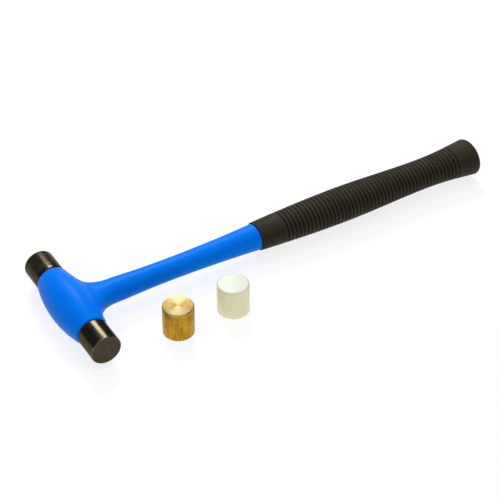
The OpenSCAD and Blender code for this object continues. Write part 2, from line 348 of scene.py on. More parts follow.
GRAIN = make_fine_grain()
SMUDGES = make_smudges()
SPECKS = make_specks()
MARKS = make_turning_marks()
RIM = make_rim_wear()


def use(tree, group, **inputs):
    """Places a shared effect and returns its one output."""
    return place(tree, "ShaderNodeGroup", {"node_tree": group}, **inputs).outputs[0]


def rubbed_rim(tree, here, radius, height, width):
    """Mask of the rubbed edge of a turned piece."""
    return use(tree, RIM, Vector=here, **{"Rim Radius": radius, "Rim Height": height, "Width": width})


def tinted(tree, mask, share, under, over):
    """Second colour over the first where a mask says, in part."""
    return blend(tree, maths(tree, "MULTIPLY", mask, share), under, over)


def rough_by(tree, shader, mask, change, base):
    """Roughness that changes with a mask."""
    tree.links.new(maths(tree, "MULTIPLY_ADD", mask, change, base), shader.inputs["Roughness"])


def new_material(name, centre=(0, 0, 0), turned=(0, 0, 0), **plain):
    """Material, its shader with plain values set, and millimetre coordinates about a piece's own axis."""
    material = bpy.data.materials.new(name)
    material.use_nodes = True
    tree = material.node_tree
    shader = tree.nodes["Principled BSDF"]
    for key, value in plain.items():
        shader.inputs[key.replace("_", " ")].default_value = value
    coords = place(tree, "ShaderNodeTexCoord")
    mapped = place(tree, "ShaderNodeMapping", {"vector_type": "TEXTURE"}, Vector=coords.outputs["Object"],
                   Location=centre, Rotation=turned, Scale=(MM, MM, MM))
    return material, tree, shader, mapped.outputs["Vector"]


def roughen(tree, shader, height, strength, distance):
    """Bump from a height, on the shader's normal."""
    bump = place(tree, "ShaderNodeBump", None, Height=height, Strength=strength, Distance=distance * MM)
    tree.links.new(bump.outputs["Normal"], shader.inputs["Normal"])


def moulded_blue():
    """Satin moulded plastic with flow lines along the handle."""
    material, tree, shader, here = new_material(
        "moulded_blue", HEAD, Specular_IOR_Level=0.07, Specular_Tint=(0.15, 0.9, 0.8, 1))
    patches = use(tree, SMUDGES, Vector=here, Size=9.0)
    flow = place(tree, "ShaderNodeMapping", None, Vector=here, Scale=(0.5, 0.12, 0.5)).outputs["Vector"]
    streaks = use(tree, SMUDGES, Vector=flow, Size=1.6)
    body = tinted(tree, patches, 0.5, (0.0, 0.185, 0.91, 1), (0.0, 0.215, 0.97, 1))
    body = tinted(tree, streaks, 0.14, body, (0.0, 0.16, 0.84, 1))
    dust = use(tree, SPECKS, Vector=here, Size=1.1)
    body = tinted(tree, dust, 0.16, body, (0.35, 0.55, 0.9, 1))
    tree.links.new(body, shader.inputs["Base Color"])
    rough_by(tree, shader, patches, 0.06, 0.37)
    roughen(tree, shader, use(tree, GRAIN, Vector=here, Size=0.35), 0.12, 0.05)
    return material


def ringed_rubber():
    """Matte rubber of the grip, paler on its rubbed crests, with painted shade darkening the grooves
    between its rings.
    """
    material, tree, shader, here = new_material("grip_rubber", HEAD, IOR=1.5, Specular_IOR_Level=0.12)
    y = place(tree, "ShaderNodeSeparateXYZ", None, Vector=here).outputs[1]
    phase = maths(tree, "DIVIDE", maths(tree, "SUBTRACT", y, FIRST_RING), RING_PITCH)
    wave = maths(tree, "COSINE", maths(tree, "MULTIPLY", phase, TURN))
    crest_wear_groove_shade = maths(tree, "MULTIPLY_ADD", wave, -0.5, 0.5)
    past_first = maths(tree, "GREATER_THAN", phase, -0.5)
    ringed = maths(tree, "MULTIPLY", past_first, maths(tree, "LESS_THAN", phase, RING_COUNT - 0.5))
    crest_wear_groove_shade = maths(tree, "MULTIPLY_ADD", maths(tree, "SUBTRACT", crest_wear_groove_shade, PLAIN_CREST), ringed, PLAIN_CREST)
    patches = use(tree, SMUDGES, Vector=here, Size=7.0)
    # Painted shade: the grooves between the rings are darkened to near black; the paler crests are rubbed
    # wear.
    colour = blend(tree, crest_wear_groove_shade, (0.004, 0.003, 0.001, 1), (0.046, 0.039, 0.022, 1))
    colour = tinted(tree, patches, 0.35, colour, (0.016, 0.012, 0.006, 1))
    dust = use(tree, SPECKS, Vector=here, Size=0.9)
    colour = tinted(tree, dust, 0.22, colour, (0.12, 0.11, 0.09, 1))
    tree.links.new(colour, shader.inputs["Base Color"])
    rough_by(tree, shader, patches, 0.12, 0.5)
    roughen(tree, shader, use(tree, GRAIN, Vector=here, Size=0.22), 0.25, 0.05)
    return material


def hard_rubber(centre, turned, rim):
    """Polished hard rubber, shaded half metallic to keep its gloss dark at grazing angles."""
    material, tree, shader, here = new_material(
        "face_rubber", centre, turned, Metallic=0.5, Specular_IOR_Level=0.12,
        Specular_Tint=(0.6, 0.52, 0.4, 1))
    patches = use(tree, SMUDGES, Vector=here, Size=3.0)
    colour = blend(tree, patches, (0.030, 0.026, 0.017, 1), (0.048, 0.042, 0.031, 1))
    rubbed = rubbed_rim(tree, here, FACE_R - 0.2, rim - 0.2, 0.9)
    colour = tinted(tree, rubbed, 0.5, colour, (0.055, 0.05, 0.04, 1))
    dust = use(tree, SPECKS, Vector=here, Size=0.6)
    colour = tinted(tree, dust, 0.25, colour, (0.11, 0.10, 0.085, 1))
    tree.links.new(colour, shader.inputs["Base Color"])
    rough_by(tree, shader, patches, 0.08, 0.24)
    roughen(tree, shader, use(tree, GRAIN, Vector=here, Size=0.2), 0.07, 0.04)
    return material


def blackened_steel(centre=HEAD, turned=(0, 0, 0), rim=None):
    """Oiled black finish on turned steel, rubbed along the rim where a piece has one."""
    material, tree, shader, here = new_material(
        "black_steel", centre, turned, Metallic=0.97, Specular_IOR_Level=0.2,
        Specular_Tint=(0.6, 0.56, 0.45, 1), Coat_Weight=0.12, Coat_Roughness=0.16)
    patches = use(tree, SMUDGES, Vector=here, Size=2.6)
    colour = blend(tree, patches, (0.045, 0.038, 0.022, 1), (0.058, 0.050, 0.032, 1))
    if rim is not None:
        rubbed = rubbed_rim(tree, here, FACE_R - 0.1, rim - 0.1, 0.45)
        colour = tinted(tree, rubbed, 0.4, colour, (0.2, 0.185, 0.15, 1))
    tree.links.new(colour, shader.inputs["Base Color"])
    rough_by(tree, shader, patches, 0.05, 0.2)
    marks = use(tree, MARKS, Vector=here, Pitch=0.24)
    pits = maths(tree, "MULTIPLY_ADD", use(tree, GRAIN, Vector=here, Size=0.12), 1.4, marks)
    roughen(tree, shader, pits, 0.006, 0.012)
    return material


def turned_brass(centre, rim):
    """Drawn brass bar with a turned end, painted paler than its side, with painted highlight sectors round
    its axis.
    """
    material, tree, shader, here = new_material(
        "turned_brass", centre, Metallic=1.0, Anisotropic=0.85, Anisotropic_Rotation=0.25)
    rings = place(tree, "ShaderNodeTangent", {"direction_type": "RADIAL"})
    tree.links.new(rings.outputs[0], shader.inputs["Tangent"])
    patches = use(tree, SMUDGES, Vector=here, Size=2.2)
    upright = place(tree, "ShaderNodeMapping", None, Vector=here, Scale=(1.0, 1.0, 0.16)).outputs["Vector"]
    streaks = use(tree, SMUDGES, Vector=upright, Size=1.1)
    colour = blend(tree, patches, (0.48, 0.26, 0.016, 1), (0.60, 0.35, 0.035, 1))
    x, y, z = place(tree, "ShaderNodeSeparateXYZ", None, Vector=here).outputs
    side = fade(tree, z, rim - CHAMFER_BRASS, rim, 1.0, 0.0)
    # Painted highlight: the turned end is painted paler, lighter in two sectors round the axis and duller
    # between them.
    round_axis = maths(tree, "SUBTRACT", maths(tree, "ARCTAN2", y, x), HIGHLIGHT_SECTOR_AT)
    wave = maths(tree, "COSINE", maths(tree, "MULTIPLY", round_axis, 2.0))
    highlight_sectors = maths(tree, "MULTIPLY_ADD", wave, 0.5, 0.5)
    painted_end_highlight = blend(tree, fade(tree, highlight_sectors, 0.1, 0.95), (0.49, 0.35, 0.125, 1), (0.66, 0.56, 0.29, 1))
    colour = tinted(tree, streaks, 0.6, colour, (0.28, 0.13, 0.012, 1))
    colour = blend(tree, side, painted_end_highlight, colour)
    rubbed = rubbed_rim(tree, here, FACE_R, rim - CHAMFER_BRASS, 0.35)
    colour = tinted(tree, rubbed, 0.5, colour, (0.85, 0.62, 0.26, 1))
    tree.links.new(colour, shader.inputs["Base Color"])
    dull = maths(tree, "MULTIPLY_ADD", side, BRASS_SIDE_ROUGH - BRASS_END_ROUGH, BRASS_END_ROUGH)
    rough_by(tree, shader, streaks, 0.1, dull)
    marks = use(tree, MARKS, Vector=here, Pitch=0.45)
    roughen(tree, shader, maths(tree, "MULTIPLY_ADD", streaks, 0.8, marks), 0.12, 0.02)
    return material


def natural_nylon(centre, rim):
    """Natural nylon bar, warm at the side, with painted grey-green shade on its rounded rim and the middle
    of its end.
    """
    material, tree, shader, here = new_material(
        "white_nylon", centre, IOR=1.53, Subsurface_Weight=0.55, Subsurface_Radius=(1.0, 0.9, 0.6),
        Subsurface_Scale=0.003)
    patches = use(tree, SMUDGES, Vector=here, Size=3.4)
    colour = blend(tree, patches, (0.985, 0.92, 0.57, 1), (0.99, 0.95, 0.66, 1))
    radius, z = off_axis(tree, here)
    # Painted shade: the rounded rim and the middle of the end are painted grey-green, standing in for light
    # passing through the clear nylon.
    colour = blend(tree, fade(tree, z, rim - EDGE_NYLON, rim), colour, (0.72, 0.74, 0.60, 1))
    inside = fade(tree, radius, NYLON_R - 2.2, NYLON_R - 1, 1.0, 0.0)
    middle = maths(tree, "MULTIPLY", inside, fade(tree, z, rim - 0.4, rim))
    colour = blend(tree, middle, colour, (0.68, 0.73, 0.63, 1))
    scuffs = rubbed_rim(tree, here, NYLON_R - 0.3, rim - 0.3, 0.8)
    colour = tinted(tree, scuffs, 0.25, colour, (0.70, 0.71, 0.60, 1))
    tree.links.new(colour, shader.inputs["Base Color"])
    rough_by(tree, shader, patches, 0.12, 0.34)
    marks = use(tree, MARKS, Vector=here, Pitch=0.3)
    skin = maths(tree, "MULTIPLY_ADD", use(tree, GRAIN, Vector=here, Size=0.3), 1.5, marks)
    roughen(tree, shader, skin, 0.1, 0.012)
    return material


def plated_steel(name, dark, light, rough, grain_size):
    """Plated or bright steel of the hidden and threaded pieces."""
    material, tree, shader, here = new_material(name, HEAD, Metallic=1.0)
    patches = use(tree, SMUDGES, Vector=here, Size=2.5)
    colour = blend(tree, patches, dark, light)
    dust = use(tree, SPECKS, Vector=here, Size=0.7)
    colour = tinted(tree, dust, 0.3, colour, (0.3, 0.28, 0.25, 1))
    tree.links.new(colour, shader.inputs["Base Color"])
    rough_by(tree, shader, patches, 0.12, rough)
    roughen(tree, shader, use(tree, GRAIN, Vector=here, Size=grain_size), 0.12, 0.01)
    return material


def pressed_fibre():
    """Grey fibre board of the pads, its strands lying in the disc."""
    material, tree, shader, here = new_material("pad_fibre", HEAD, Roughness=0.95, Sheen_Weight=0.3)
    flat = place(tree, "ShaderNodeMapping", None, Vector=here, Scale=(0.3, 1.0, 1.0)).outputs["Vector"]
    strands = noise(tree, flat, 6.0, 6.0, 0.75)
    colour = blend(tree, fade(tree, strands, 0.3, 0.7), (0.16, 0.145, 0.125, 1), (0.36, 0.33, 0.29, 1))
    tree.links.new(colour, shader.inputs["Base Color"])
    roughen(tree, shader, strands, 0.6, 0.1)
    return material


# ---------------------------------------------------------------- modelling kit

def clear_selection():
    """Leaves nothing selected."""
    bpy.ops.object.select_all(action="DESELECT")


def pick(piece):
    """Selects one piece only, and makes it active."""
    clear_selection()
    piece.select_set(True)
    bpy.context.view_layer.objects.active = piece


def settle(piece):
    """Puts the piece's place into its mesh."""
    pick(piece)
    bpy.ops.object.transform_apply(location=True, rotation=True, scale=True)
    return piece


def apply_all(piece):
    """Applies the piece's modifiers in their order."""
    pick(piece)
    for modifier in list(piece.modifiers):
        bpy.ops.object.modifier_apply(modifier=modifier.name)


def rounded(along, radius, size, start, end, steps=6):
    """Points of a rounded edge about (along, radius), between two angles in degrees from the axis."""
    angles = [math.radians(start + (end - start) * i / steps) for i in range(steps + 1)]
    return [(along + size * math.cos(a), radius + size * math.sin(a)) for a in angles]


def lathe(name, outline, centre=HEAD, axis=(1, 0, 0), sides=SIDES):
    """Turns an outline of (distance along the axis, radius) points, in millimetres, about an axis."""
    along = Vector(axis)
    out = Vector((0, 0, 1)) if abs(along.z) < 0.5 else Vector((1, 0, 0))
    points = [Vector(centre) + (along * a + out * r) * MM for a, r in outline]
    clear_selection()
    bpy.ops.mesh.primitive_plane_add(size=MM, location=points[0])
    piece = bpy.context.object
    piece.name = name
    bpy.ops.object.mode_set(mode="EDIT")
    bpy.ops.mesh.merge(type="CENTER")
    for here, there in zip(points, points[1:]):
        bpy.ops.mesh.extrude_region_move(TRANSFORM_OT_translate={"value": there - here})
    bpy.ops.mesh.select_all(action="SELECT")
    bpy.ops.mesh.spin(steps=sides, angle=TURN, center=centre, axis=along)
    bpy.ops.mesh.select_all(action="SELECT")
    bpy.ops.mesh.remove_doubles(threshold=WELD)
    bpy.ops.mesh.normals_make_consistent(inside=False)
    bpy.ops.object.mode_set(mode="OBJECT")
    return settle(piece)


def loft(name, rings, sides=128):
    """Oval solid along Y through rings of (y, half width, half height), in millimetres from the head."""
    y, half_w, half_h = rings[0]
    clear_selection()
    bpy.ops.mesh.primitive_circle_add(vertices=sides, radius=MM, fill_type="NGON",
                                      location=HEAD + Vector((0, y, 0)) * MM, rotation=(math.pi / 2, 0, 0))
    piece = settle(bpy.context.object)
    piece.name = name
    bpy.ops.object.mode_set(mode="EDIT")
    bpy.ops.mesh.select_all(action="SELECT")
    bpy.ops.transform.resize(value=(half_w, 1, half_h), center_override=HEAD + Vector((0, y, 0)) * MM)
    for next_y, next_w, next_h in rings[1:]:
        bpy.ops.mesh.extrude_region_move(TRANSFORM_OT_translate={"value": (0, (next_y - y) * MM, 0)})
        middle = HEAD + Vector((0, next_y, 0)) * MM
        bpy.ops.transform.resize(value=(next_w / half_w, 1, next_h / half_h), center_override=middle)
        y, half_w, half_h = next_y, next_w, next_h
    bpy.ops.mesh.select_all(action="SELECT")
    bpy.ops.mesh.normals_make_consistent(inside=False)
    bpy.ops.object.mode_set(mode="OBJECT")
    return piece


def combine(piece, tool, operation="DIFFERENCE"):
    """Cuts, joins or intersects the piece with a tool, and throws the tool away."""
    modifier = piece.modifiers.new("combine", "BOOLEAN")
    modifier.operation = operation
    modifier.solver = "MANIFOLD"
    modifier.object = tool
    apply_all(piece)
    bpy.data.objects.remove(tool)
    return piece


def threaded_bar(name, start, end, crest_wear_groove_shade, root, centre=HEAD, axis=(1, 0, 0)):
    """Right-hand threaded bar about an axis, closed square at both ends. Its phase follows the centre."""
    crest_flat, root_flat = PITCH / 8, PITCH / 4
    flank = (PITCH - crest_flat - root_flat) / 2
    outline = [(0, root), (root_flat, root), (root_flat + flank, crest_wear_groove_shade),
               (root_flat + flank + crest_flat, crest_wear_groove_shade), (PITCH, root)]
    spare = 2
    turns = math.ceil(end) - math.floor(start) + 2 * spare
    clear_selection()
    first = math.floor(start) - spare
    bpy.ops.mesh.primitive_plane_add(size=MM, location=(root * MM, 0, first * MM))
    piece = bpy.context.object
    piece.name = name
    bpy.ops.object.mode_set(mode="EDIT")
    bpy.ops.mesh.merge(type="CENTER")
    for (a, r), (next_a, next_r) in zip(outline, outline[1:]):
        bpy.ops.mesh.extrude_region_move(
            TRANSFORM_OT_translate={"value": ((next_r - r) * MM, 0, (next_a - a) * MM)})
    bpy.ops.object.mode_set(mode="OBJECT")
    settle(piece)
    screw = piece.modifiers.new("screw", "SCREW")
    screw.steps = screw.render_steps = THREAD_SIDES
    screw.screw_offset = PITCH * MM
    screw.iterations = turns
    apply_all(piece)
    bpy.ops.object.mode_set(mode="EDIT")
    bpy.ops.mesh.select_all(action="SELECT")
    bpy.ops.mesh.remove_doubles(threshold=WELD)
    for height, outer in ((start, False), (end, True)):
        bpy.ops.mesh.select_all(action="SELECT")
        bpy.ops.mesh.bisect(plane_co=(0, 0, height * MM), plane_no=(0, 0, 1),
                            clear_inner=not outer, clear_outer=outer)
    bpy.ops.mesh.select_all(action="SELECT")
    bpy.ops.mesh.remove_doubles(threshold=WELD)
    bpy.ops.mesh.fill_holes(sides=0)
    bpy.ops.mesh.normals_make_consistent(inside=False)
    bpy.ops.object.mode_set(mode="OBJECT")
    piece.rotation_euler = Vector(axis).to_track_quat("Z", "Y").to_euler()
    piece.location = centre
    return settle(piece)


def hand_over(piece, body, material, slot, *nodes, angle=32):
    """Finishes a piece: soft shading, its material, its body and the nodes it stands for. The slot is not
    used.
    """
    pick(piece)
    bpy.ops.object.shade_smooth_by_angle(angle=math.radians(angle))
    piece.data.materials.clear()
    piece.data.materials.append(material)
    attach(piece, body)
    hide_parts(*nodes)


# ---------------------------------------------------------------- moulded body

# The barrel's outline is one arc. Each neck fillet is an arc that touches it and the shank.
BARREL_SAG = BARREL_R - BARREL_END_R
BARREL_ARC = (BODY_HALF ** 2 + BARREL_SAG ** 2) / (2 * BARREL_SAG)
NECK_W = NECK_D / 2 * SHANK_OVAL
NECK_H = NECK_D / 2 / SHANK_OVAL
ARC_IN = BARREL_ARC - FILLET_SINK
FILLET_X = NECK_W + NECK_FILLET
FILLET_Y = math.sqrt((ARC_IN + NECK_FILLET) ** 2 - FILLET_X ** 2) - (BARREL_ARC - BARREL_R)
TOUCH_X = FILLET_X * ARC_IN / (ARC_IN + NECK_FILLET)
TOUCH_Y = math.sqrt(ARC_IN ** 2 - TOUCH_X ** 2) - (BARREL_ARC - BARREL_R)
SIDE_IN = BARREL_R - FILLET_SINK
SIDE_Z = NECK_H + NECK_SIDE_FILLET
SIDE_Y = math.sqrt((SIDE_IN + NECK_SIDE_FILLET) ** 2 - SIDE_Z ** 2)
SIDE_TOUCH_Y = SIDE_Y * SIDE_IN / (SIDE_IN + NECK_SIDE_FILLET)


def shank_mean(y):
    """Mean diameter of the shank: a parabola on each side of its waist."""
    if y < WAIST_Y:
        return WAIST_D + (NECK_D - WAIST_D) * ((WAIST_Y - y) / (WAIST_Y - FILLET_Y)) ** 2
    return WAIST_D + (SHANK_END_D - WAIST_D) * ((y - WAIST_Y) / (GRIP_Y - WAIST_Y)) ** 2


def shank_half_w(y):
    """Half width of the shank seen from above, with the neck's fillet into the barrel."""
    if y < FILLET_Y:
        return FILLET_X - math.sqrt(max(0, NECK_FILLET ** 2 - (FILLET_Y - max(y, TOUCH_Y)) ** 2))
    return shank_mean(y) / 2 * SHANK_OVAL


def shank_half_h(y):
    """Half height of the shank seen from the side, within the barrel, along the fillet and beyond it."""
    if y < SIDE_TOUCH_Y:
        return math.sqrt(SIDE_IN ** 2 - y * y)
    if y < SIDE_Y:
        return SIDE_Z - math.sqrt(NECK_SIDE_FILLET ** 2 - (SIDE_Y - y) ** 2)
    return NECK_H if y < FILLET_Y else shank_mean(y) / 2 / SHANK_OVAL


def barrel_outline():
    """Outline of the barrel from end to end, a shallow arc with rounded end edges."""
    edge = BODY_HALF - END_ROUND
    edge_r = math.sqrt(BARREL_ARC ** 2 - edge ** 2) - (BARREL_ARC - BARREL_R)
    lean = math.degrees(math.asin(edge / BARREL_ARC))
    left = rounded(-edge, edge_r - END_ROUND, END_ROUND, 180, 90 + lean)
    right = rounded(edge, edge_r - END_ROUND, END_ROUND, 90 - lean, 0)
    steps = 60
    xs = [-edge + 2 * edge * i / steps for i in range(1, steps)]
    arc = [(x, math.sqrt(BARREL_ARC ** 2 - x * x) - (BARREL_ARC - BARREL_R)) for x in xs]
    return [(-BODY_HALF, 0)] + left + arc + right + [(BODY_HALF, 0)]


def step_up(value, low, high):
    """Smooth rise from 0 at low to 1 at high."""
    t = min(1, max(0, (value - low) / (high - low)))
    return t * t * (3 - 2 * t)


def shank_rings():
    """Rings of the shank, from a root inside the barrel to its rounded end at the grip."""
    neck_steps, shank_steps = 26, 30
    root_y = CANISTER_R / 2
    neck, straight = FILLET_Y - TOUCH_Y, GRIP_Y - END_ROUND - FILLET_Y
    along = [TOUCH_Y + neck * i / neck_steps for i in range(neck_steps + 1)]
    along += [FILLET_Y + straight * i / shank_steps for i in range(1, shank_steps + 1)]
    rings = [(root_y, TOUCH_X * 0.9, shank_half_h(root_y))]
    rings += [(y, shank_half_w(y), shank_half_h(y)) for y in along]
    last_w, last_h = rings[-1][1:]
    for turn in (30, 60, 90):
        angle = math.radians(turn)
        back = END_ROUND * (1 - math.cos(angle))
        rings.append((GRIP_Y - END_ROUND + END_ROUND * math.sin(angle), last_w - back, last_h - back))
    return rings


def even_skin(body):
    """Gives a joined piece an even mesh that hugs its old surface."""
    pick(body)
    bpy.ops.object.duplicate()
    pattern = bpy.context.object
    remesh = body.modifiers.new("remesh", "REMESH")
    remesh.mode = "VOXEL"
    remesh.voxel_size = BODY_VOXEL * MM
    apply_all(body)
    hug = body.modifiers.new("hug", "SHRINKWRAP")
    hug.target = pattern
    apply_all(body)
    bpy.data.objects.remove(pattern)


def melt_crease(body):
    """Smooths the join of barrel and neck, and leaves the barrel's front and its two ends as they are."""
    crease = body.vertex_groups.new(name="crease")
    for vertex in body.data.vertices:
        x, y, z = (vertex.co - HEAD) / MM
        near_neck = step_up(y, 1, 4) * (1 - step_up(y, FILLET_Y - 2, FILLET_Y + 4))
        off_ends = 1 - step_up(abs(x), BODY_HALF - MELT_FADES, BODY_HALF - MELT_STOPS)
        crease.add([vertex.index], near_neck * off_ends, "REPLACE")
    melt = body.modifiers.new("melt", "SMOOTH")
    melt.factor = 0.5
    melt.iterations = MELT_ROUNDS
    melt.vertex_group = crease.name
    apply_all(body)
    body.vertex_groups.clear()


def moulded_body():
    """Barrel and shank in one skin, with the tang behind, bored for the canister, socket and rod."""
    body = lathe("moulded_body_skin", barrel_outline(), sides=192)
    combine(body, loft("shank", shank_rings()), "UNION")
    even_skin(body)
    melt_crease(body)
    tang = [(GRIP_Y - TANG_ROOT, 0), (GRIP_Y - TANG_ROOT, TANG_R), (TANG_END - TANG_CHAMFER, TANG_R),
            (TANG_END, TANG_R - TANG_CHAMFER), (TANG_END, 0)]
    combine(body, lathe("tang", tang, axis=(0, 1, 0)), "UNION")
    wide = CANISTER_R + BORE_MOUTH
    mouth = [(BODY_HALF - BORE_MOUTH, CANISTER_R), (BODY_HALF, wide), (BODY_HALF + 1, wide),
             (BODY_HALF + 1, 0)]
    bore = [(-x, radius) for x, radius in reversed(mouth)] + mouth
    combine(body, lathe("bore", bore))
    seat = [(0, 0), (0, SOCKET_R), (SOCKET_END, SOCKET_R), (SOCKET_END, CORE_R), (CORE_END, CORE_R),
            (CORE_END, 0)]
    return combine(body, lathe("seat", seat, axis=(0, 1, 0)))


# ---------------------------------------------------------------- turned pieces

def tube(inner, outer, low, high, chamfer):
    """Closed outline of a tube with chamfered ends."""
    after, before = low + chamfer, high - chamfer
    outside = [(low, outer - chamfer), (after, outer), (before, outer), (high, outer - chamfer)]
    inside = [(high, inner + chamfer), (before, inner), (after, inner), (low, inner + chamfer)]
    return [(low, inner + chamfer)] + outside + inside


def bar(radius, low, high, chamfer):
    """Closed outline of a solid bar with chamfered ends."""
    return [(low, 0), (low, radius - chamfer), (low + chamfer, radius), (high - chamfer, radius),
            (high, radius - chamfer), (high, 0)]


def add_hole_thread(piece, seat, centre=HEAD, axis=(1, 0, 0)):
    """Cuts the blind threaded hole of a striking face, from its seat inwards."""
    combine(piece, threaded_bar("tap", seat - 1, seat + THREAD_DEPTH, HOLE_CREST, HOLE_ROOT, centre, axis))
    wide = HOLE_CREST + HOLE_MOUTH
    drill = [(seat - 1, 0), (seat - 1, wide), (seat, wide), (seat + HOLE_MOUTH, HOLE_CREST),
             (seat + HOLE_MOUTH, HOLE_ROOT), (seat + HOLE_DEPTH, HOLE_ROOT), (seat + HOLE_DEPTH, 0)]
    return combine(piece, lathe("drill", drill, centre, axis))


def face_blank(name, low, high, radius, edge, centre=HEAD, axis=(1, 0, 0), foot=SEAT_CHAMFER):
    """Turned blank of a striking face, with a rounded outer edge and a small chamfer at its seat."""
    outline = [(low, 0), (low, radius - foot), (low + foot, radius)]
    outline += rounded(high - edge, radius - edge, edge, 90, 0) + [(high, 0)]
    return lathe(name, outline, centre, axis)


def rubber_face(side):
    """Rubber block, moulded round the boss of its backing."""
    outline = [(SEAT + FLANGE, BOSS_R), (SEAT + FLANGE, FACE_R)]
    outline += rounded(RUBBER_END - EDGE_RUBBER, FACE_R - EDGE_RUBBER, EDGE_RUBBER, 90, 0)
    outline += [(RUBBER_END, 0), (BOSS_OUT + GAP, 0), (BOSS_OUT + GAP, BOSS_R), (SEAT + FLANGE, BOSS_R)]
    return lathe("rubber_face_block", outline, axis=side)


def rubber_insert(side):
    """Steel backing of the rubber: a flange and a threaded boss."""
    outline = [(SEAT, 0), (SEAT, FACE_R - FLANGE_EDGE), (SEAT + FLANGE_EDGE, FACE_R)]
    outline += [(SEAT + FLANGE, FACE_R), (SEAT + FLANGE, BOSS_R)]
    outline += [(BOSS_OUT - FLANGE_EDGE, BOSS_R), (BOSS_OUT, BOSS_R - FLANGE_EDGE), (BOSS_OUT, 0)]
    return add_hole_thread(lathe("rubber_face_backing", outline, axis=side), SEAT, axis=side)


def brass_face(foot):
    """Chamfered brass face standing on its seat, with a crisp shoulder and rim."""
    shoulder = BRASS_HIGH - CHAMFER_BRASS
    rim = FACE_R - CHAMFER_BRASS
    outline = [(0, 0), (0, FACE_R - SEAT_CHAMFER), (SEAT_CHAMFER, FACE_R)]
    outline += [(shoulder - 0.05, FACE_R), (shoulder + 0.05, FACE_R - 0.05)]
    outline += [(BRASS_HIGH - 0.04, rim + 0.04), (BRASS_HIGH, rim - 0.03), (BRASS_HIGH, 0)]
    return add_hole_thread(lathe("brass_face_blank", outline, foot, (0, 0, 1)), 0, foot, (0, 0, 1))


def nylon_face(foot):
    """Nylon face standing on its seat, with a well rounded edge."""
    blank = face_blank("nylon_face_blank", 0, NYLON_HIGH, NYLON_R, EDGE_NYLON, foot, (0, 0, 1), FOOT_NYLON)
    return add_hole_thread(blank, 0, foot, (0, 0, 1))


def end_plug(name, side):
    """Plug with a threaded hole for its stud, and two holes for a pin spanner."""
    plug = lathe(name, bar(CANISTER_BORE - GAP, PLUG_IN, PLUG_OUT, 0.2), axis=side)
    hole = bar(SPANNER_HOLE_R, PLUG_OUT - SPANNER_HOLE_DEPTH, PLUG_OUT + 1, 0.05)
    for way in (-1, 1):
        middle = HEAD + Vector((0, 0, way * (CANISTER_BORE + STUD_CREST) / 2)) * MM
        combine(plug, lathe("spanner_hole", hole, middle, side, 24))
    tap = threaded_bar("tap", PLUG_IN - 1, PLUG_OUT + 1, STUD_CREST + GAP, STUD_ROOT + GAP, axis=side)
    return combine(plug, tap)


def face_stud(name, side):
    """Threaded stud with chamfered ends."""
    stud = threaded_bar(name, PLUG_IN - 0.5, STUD_OUT + 0.5, STUD_CREST, STUD_ROOT, axis=side)
    envelope = lathe("envelope", bar(STUD_CREST + 0.1, PLUG_IN, STUD_OUT, 0.7), axis=side)
    return combine(stud, envelope, "INTERSECT")


def core_pieces():
    """Socket, rod and pin inside the neck."""
    up = (0, 0, 1)
    sleeve = tube(CORE_R + GAP, SOCKET_R, 0, SOCKET_END, 0.3)
    socket = lathe("core_socket_sleeve", sleeve, axis=(0, 1, 0))
    combine(socket, lathe("canister_cut", bar(CANISTER_R + GAP, -BODY_HALF, BODY_HALF, 0.1)))
    rod = lathe("core_rod_bar", bar(CORE_R, CORE_START, CORE_END, 0.4), axis=(0, 1, 0))
    at_pin = HEAD + Vector((0, PIN_Y, 0)) * MM
    pin_hole = bar(PIN_R + GAP, -SOCKET_R - 1, SOCKET_R + 1, 0.05)
    for piece in (socket, rod):
        combine(piece, lathe("pin_hole", pin_hole, at_pin, up, PIN_SIDES))
    pin = lathe("core_pin_dowel", bar(PIN_R, -PIN_HALF, PIN_HALF, 0.2), at_pin, up, PIN_SIDES)
    return socket, rod, pin


# ---------------------------------------------------------------- grip

BUTT_Y = GRIP_END - BUTT_ROUND
SWELL_Y = GRIP_Y + SWELL_AT
GRIP_WAIST_Y = GRIP_END - GRIP_WAIST_AT


def grip_mean(y):
    """Mean diameter of the grip: it swells, draws in and flares to the butt."""
    if y < SWELL_Y:
        t = (y - GRIP_Y) / (SWELL_Y - GRIP_Y)
        return GRIP_FRONT_D + (SWELL_D - GRIP_FRONT_D) * math.sin(TURN / 4 * t)
    if y < GRIP_WAIST_Y:
        t = (y - SWELL_Y) / (GRIP_WAIST_Y - SWELL_Y)
        return SWELL_D + (GRIP_WAIST_D - SWELL_D) * (1 - math.cos(TURN / 2 * t)) / 2
    t = (y - GRIP_WAIST_Y) / (BUTT_Y - GRIP_WAIST_Y)
    return GRIP_WAIST_D + (BUTT_D - GRIP_WAIST_D) * (1 - math.cos(TURN / 4 * t))


def grip_point(y, depth=0.0):
    """Point on the grip's outside, sunk by a share of a ring's depth."""
    return y, grip_mean(y) / 2 - RING_DEPTH * depth


def grip_outline():
    """Outside of the grip, from its front lip over the rings to the middle of the rounded butt."""
    steps = 8
    start = GRIP_Y + GRIP_LIP
    first = FIRST_RING - RING_PITCH / 2
    last = FIRST_RING + RING_PITCH * (RING_COUNT - 0.5)
    points = rounded(start, GRIP_FRONT_D / 2 - GRIP_LIP, GRIP_LIP, 180, 90, 4)
    points += [grip_point(start + (first - start) * i / steps) for i in range(1, steps + 1)]
    for ring in range(RING_COUNT):
        middle = FIRST_RING + RING_PITCH * ring
        points += [grip_point(middle + share * RING_PITCH, depth) for share, depth in RING_SHAPE]
    points += [grip_point(last + (BUTT_Y - last) * i / steps) for i in range(steps + 1)]
    return points + rounded(BUTT_Y, BUTT_D / 2 - BUTT_ROUND, BUTT_ROUND, 90, 0)[1:] + [(GRIP_END, 0)]


